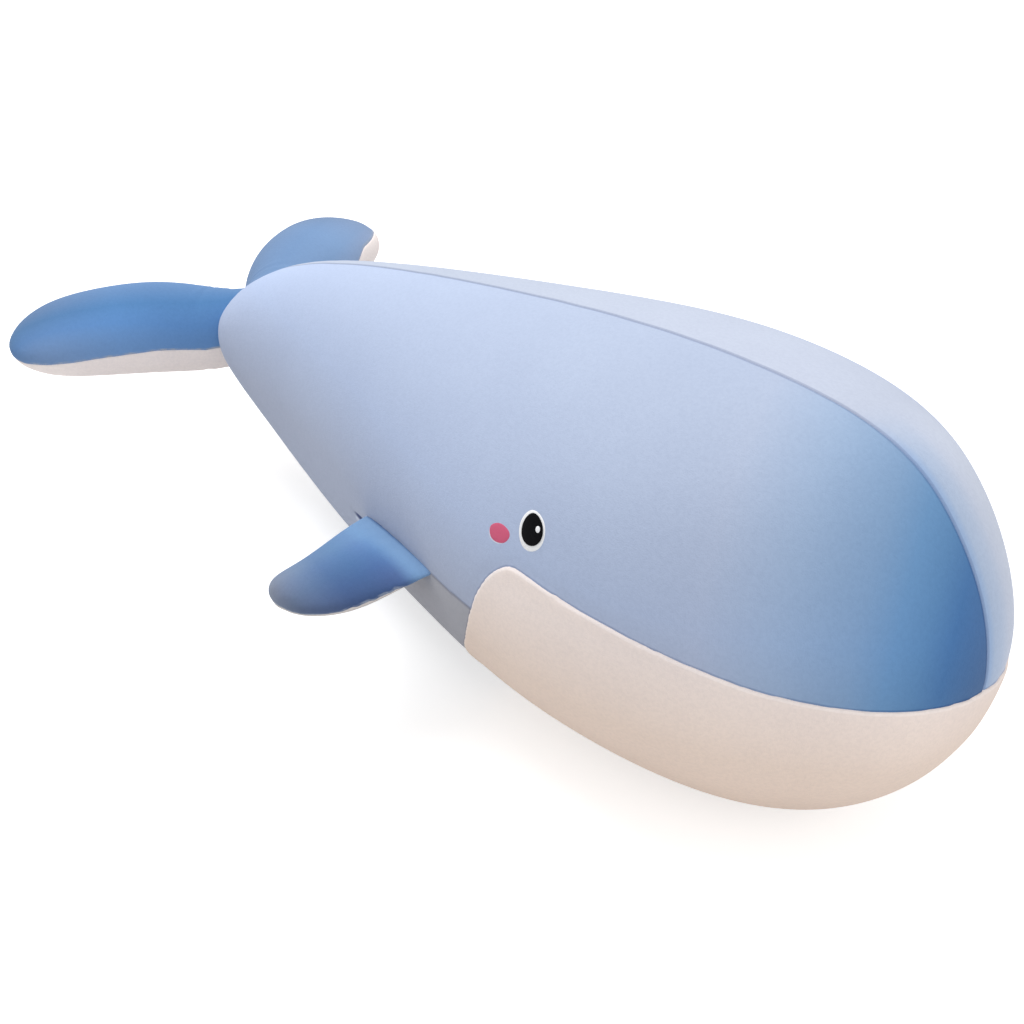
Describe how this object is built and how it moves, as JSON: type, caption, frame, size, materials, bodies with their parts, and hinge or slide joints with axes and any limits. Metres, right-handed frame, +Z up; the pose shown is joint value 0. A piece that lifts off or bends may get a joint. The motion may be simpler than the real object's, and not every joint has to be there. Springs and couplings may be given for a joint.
{
  "type": "plush whale",
  "caption": "Stuffed velvet whale with a cream lower jaw, two side fins and a forked tail, for holding and lying on.",
  "frame": {"origin": "on the floor under the middle of the whole whale as it lies on its belly", "axes": "+X to the nose, +Y to the whale's left, +Z up"},
  "size_m": [0.8027, 0.3938, 0.2767],
  "materials": {
    "pale_blue_velvet": "short pile",
    "mid_blue_velvet": "short pile",
    "cream_velvet": "short pile",
    "stuffing": "loose fibre",
    "white_thread": "satin stitch",
    "black_thread": "satin stitch",
    "pink_thread": "satin stitch"
  },
  "bodies": {
    "body": {"side_panel_right": "pale_blue_velvet", "side_panel_left": "pale_blue_velvet", "belly_panel": "pale_blue_velvet", "chin_panel": "cream_velvet", "body_stuffing": "stuffing", "eye_white_right": "white_thread", "eye_pupil_right": "black_thread", "eye_glint_right": "white_thread", "cheek_right": "pink_thread", "eye_white_left": "white_thread", "eye_pupil_left": "black_thread", "eye_glint_left": "white_thread", "cheek_left": "pink_thread"},
    "right_fin": {"fin_top_panel_right": "mid_blue_velvet", "fin_bottom_panel_right": "cream_velvet", "fin_stuffing_right": "stuffing"},
    "left_fin": {"fin_top_panel_left": "mid_blue_velvet", "fin_bottom_panel_left": "cream_velvet", "fin_stuffing_left": "stuffing"},
    "tail": {"tail_top_panel": "mid_blue_velvet", "tail_bottom_panel": "cream_velvet", "fluke_stuffing_right": "stuffing", "fluke_stuffing_left": "stuffing"}
  },
  "joints": [
    {"name": "right_fin_flap", "type": "hinge", "parent": "body", "child": "right_fin", "pos_m": [-0.01812, -0.1123, 0.1097], "axis": [-0.9583, 0.2389, -0.157], "range_deg": [-35, 45], "stiffness_Nm_per_rad": 0.2},
    {"name": "left_fin_flap", "type": "hinge", "parent": "body", "child": "left_fin", "pos_m": [-0.01812, 0.1123, 0.1097], "axis": [0.9583, 0.2389, 0.157], "range_deg": [-35, 45], "stiffness_Nm_per_rad": 0.2},
    {"name": "tail_bend", "type": "hinge", "parent": "body", "child": "tail", "pos_m": [-0.24, 0, 0.136], "axis": [0, 1, 0], "range_deg": [-30, 30], "stiffness_Nm_per_rad": 2.5}
  ]
}
